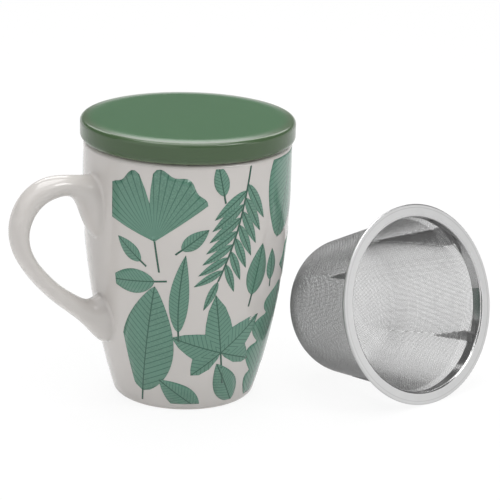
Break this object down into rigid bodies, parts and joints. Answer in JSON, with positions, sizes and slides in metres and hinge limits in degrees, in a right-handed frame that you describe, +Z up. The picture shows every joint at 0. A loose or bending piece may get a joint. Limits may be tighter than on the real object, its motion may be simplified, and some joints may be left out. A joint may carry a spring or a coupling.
{
  "type": "lidded tea mug with infuser",
  "caption": "Tapered ceramic tea mug with a loop handle, a leaf print and a loose glazed lid, with its wire-mesh basket infuser lying beside it.",
  "frame": {"origin": "centre of the mug's foot, on the surface it stands on", "axes": "+Z up along the mug's axis, the handle points along -X, and the infuser lies on the +X side with its opening towards -Y"},
  "size_m": [0.2031, 0.1096, 0.1176],
  "materials": {
    "white_glaze": "glossy warm white glaze",
    "leaf_print": "fired-on print of green leaves under a clear flux",
    "green_glaze": "glossy mottled green glaze",
    "satin_steel": "satin stainless steel",
    "bright_steel": "polished stainless steel",
    "wire_cloth": "fine woven stainless wire"
  },
  "bodies": {
    "mug": {"mug_body": "white_glaze", "mug_handle": "white_glaze", "leaf_transfer": "leaf_print"},
    "lid": {"lid": "green_glaze"},
    "infuser": {"infuser_rim": "satin_steel", "infuser_band": "bright_steel", "infuser_mesh": "wire_cloth"}
  },
  "joints": [
    {"name": "lid_lift", "type": "slide", "parent": "mug", "child": "lid", "axis": [0, 0, 1], "range_m": [0, 0.08]},
    {"name": "infuser_lift", "type": "slide", "parent": "mug", "child": "infuser", "axis": [0, 0, 1], "range_m": [0, 0.15]}
  ]
}
